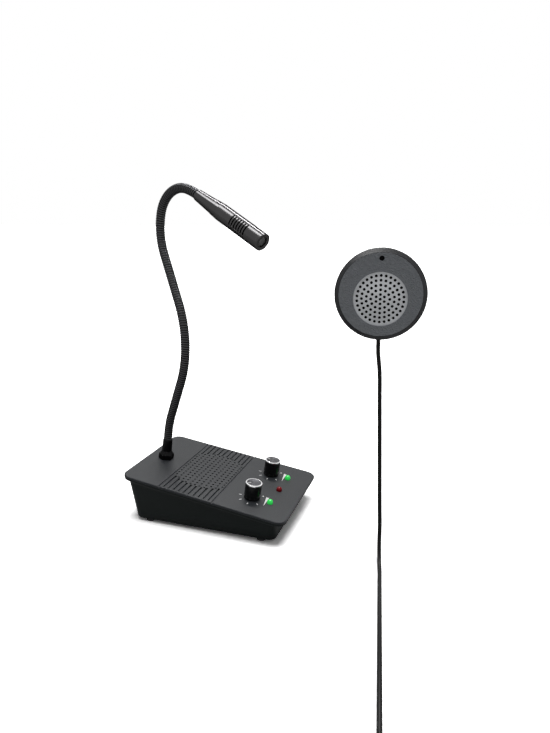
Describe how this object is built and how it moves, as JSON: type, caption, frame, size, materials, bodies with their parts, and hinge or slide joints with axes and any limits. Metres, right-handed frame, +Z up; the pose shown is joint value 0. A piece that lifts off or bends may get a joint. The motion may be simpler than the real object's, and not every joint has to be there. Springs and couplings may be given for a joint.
{
  "type": "teller window intercom",
  "caption": "Sloped counter unit with a gooseneck microphone, speaker grille, volume knobs and lamps, and a round outer speaker unit on a cable for the far side of a window.",
  "frame": {"origin": "on the counter, at the middle of the counter unit's footprint", "axes": "+Z up; -Y towards the clerk, who reads the controls; +X to the clerk's right. The neck and the rear sockets are at +Y."},
  "size_m": [0.3906, 0.287, 0.3209],
  "materials": {
    "deck_plastic": "satin, fine texture",
    "case_plastic": "satin",
    "foot_rubber": "matte",
    "screw_steel": "plain",
    "circuit_board": "gloss",
    "board_part_plastic": "matte",
    "speaker_steel": "plain",
    "magnet": "matte",
    "cone_paper": "matte",
    "cloth": "matte",
    "knob_plastic": "gloss",
    "bright_ring": "polished",
    "green_lens": "glowing",
    "red_lens": "gloss",
    "socket_plastic": "satin",
    "neck_metal": "satin black",
    "spine_steel": "plain",
    "mic_metal": "satin gunmetal",
    "screen_mesh": "woven",
    "capsule_metal": "satin",
    "outer_case_plastic": "satin",
    "outer_face_plastic": "fine texture",
    "grille_metal": "satin",
    "pad_foam": "foam",
    "cable_sheath": "satin",
    "tie_plastic": "matte",
    "plug_plastic": "matte",
    "plug_metal": "polished"
  },
  "bodies": {
    "root": {"top_cover": "deck_plastic", "bottom_case": "case_plastic", "rubber_feet": "foot_rubber", "case_screws": "screw_steel", "main_board": "circuit_board", "board_parts": "board_part_plastic", "inner_screws": "screw_steel", "speaker_frame": "speaker_steel", "speaker_magnet": "magnet", "speaker_cone": "cone_paper", "speaker_cloth": "cloth", "control_board": "circuit_board", "volume_pots": "speaker_steel", "pot_nuts": "screw_steel", "green_lamps": "green_lens", "red_lamp": "red_lens", "power_socket": "socket_plastic", "unit_socket": "socket_plastic", "switch_frame": "socket_plastic", "neck_nut": "neck_metal", "neck_ferrule": "neck_metal", "neck_stub": "screw_steel", "neck_lock_nut": "screw_steel", "outer_case": "outer_case_plastic", "outer_cover": "outer_face_plastic", "outer_grille": "grille_metal", "outer_cloth": "cloth", "outer_speaker_frame": "speaker_steel", "outer_speaker_magnet": "magnet", "outer_speaker_cone": "cone_paper", "outer_capsule": "capsule_metal", "outer_screws": "screw_steel", "adhesive_pad": "pad_foam", "cable_grommet": "foot_rubber", "outer_cable": "cable_sheath", "cable_coil": "cable_sheath", "cable_tail": "cable_sheath", "cable_tie": "tie_plastic", "plug_grip": "plug_plastic", "plug_shank": "plug_metal"},
    "left_volume": {"left_shaft": "screw_steel", "left_knob": "knob_plastic", "left_knob_ring": "bright_ring"},
    "right_volume": {"right_shaft": "screw_steel", "right_knob": "knob_plastic", "right_knob_ring": "bright_ring"},
    "power_rocker": {"switch_rocker": "knob_plastic"},
    "neck_lower": {"neck_hose_1": "neck_metal", "neck_spine_1": "spine_steel"},
    "neck_middle": {"neck_hose_2": "neck_metal", "neck_spine_2": "spine_steel"},
    "neck_upper": {"neck_hose_3": "neck_metal", "neck_spine_3": "spine_steel"},
    "microphone": {"neck_hose_4": "neck_metal", "neck_spine_4": "spine_steel", "mic_sleeve": "mic_metal", "mic_barrel": "mic_metal", "mic_end_ring": "mic_metal", "mic_screen": "screen_mesh", "mic_capsule": "capsule_metal"}
  },
  "joints": [
    {"name": "left_volume_turn", "type": "hinge", "parent": "root", "child": "left_volume", "pos_m": [-0.028, -0.04135, 0.03309], "axis": [0, -0.1461, 0.9893], "range_deg": [-180, 90]},
    {"name": "right_volume_turn", "type": "hinge", "parent": "root", "child": "right_volume", "pos_m": [0.028, -0.04135, 0.03309], "axis": [0, -0.1461, 0.9893], "range_deg": [-135, 135]},
    {"name": "power_rocker_tilt", "type": "hinge", "parent": "root", "child": "power_rocker", "pos_m": [-0.024, 0.0759, 0.02121], "axis": [-1, 0, 0], "range_deg": [0, 16]},
    {"name": "neck_side_lean", "type": "hinge", "parent": "root", "child": "neck_lower", "pos_m": [0, 0.06116, 0.07199], "axis": [-0.3795, -0.9252, 0], "range_deg": [-25, 25]},
    {"name": "neck_lower_bend", "type": "hinge", "parent": "neck_lower", "child": "neck_middle", "pos_m": [-0.00913, 0.0389, 0.13533], "axis": [0.9252, -0.3795, 0], "range_deg": [-25, 10]},
    {"name": "neck_middle_bend", "type": "hinge", "parent": "neck_middle", "child": "neck_upper", "pos_m": [-0.00959, 0.03777, 0.21317], "axis": [0.9252, -0.3795, 0], "range_deg": [-25, 10]},
    {"name": "neck_upper_bend", "type": "hinge", "parent": "neck_upper", "child": "microphone", "pos_m": [-0.00271, 0.05455, 0.25762], "axis": [0.9252, -0.3795, 0], "range_deg": [-25, 25]}
  ]
}
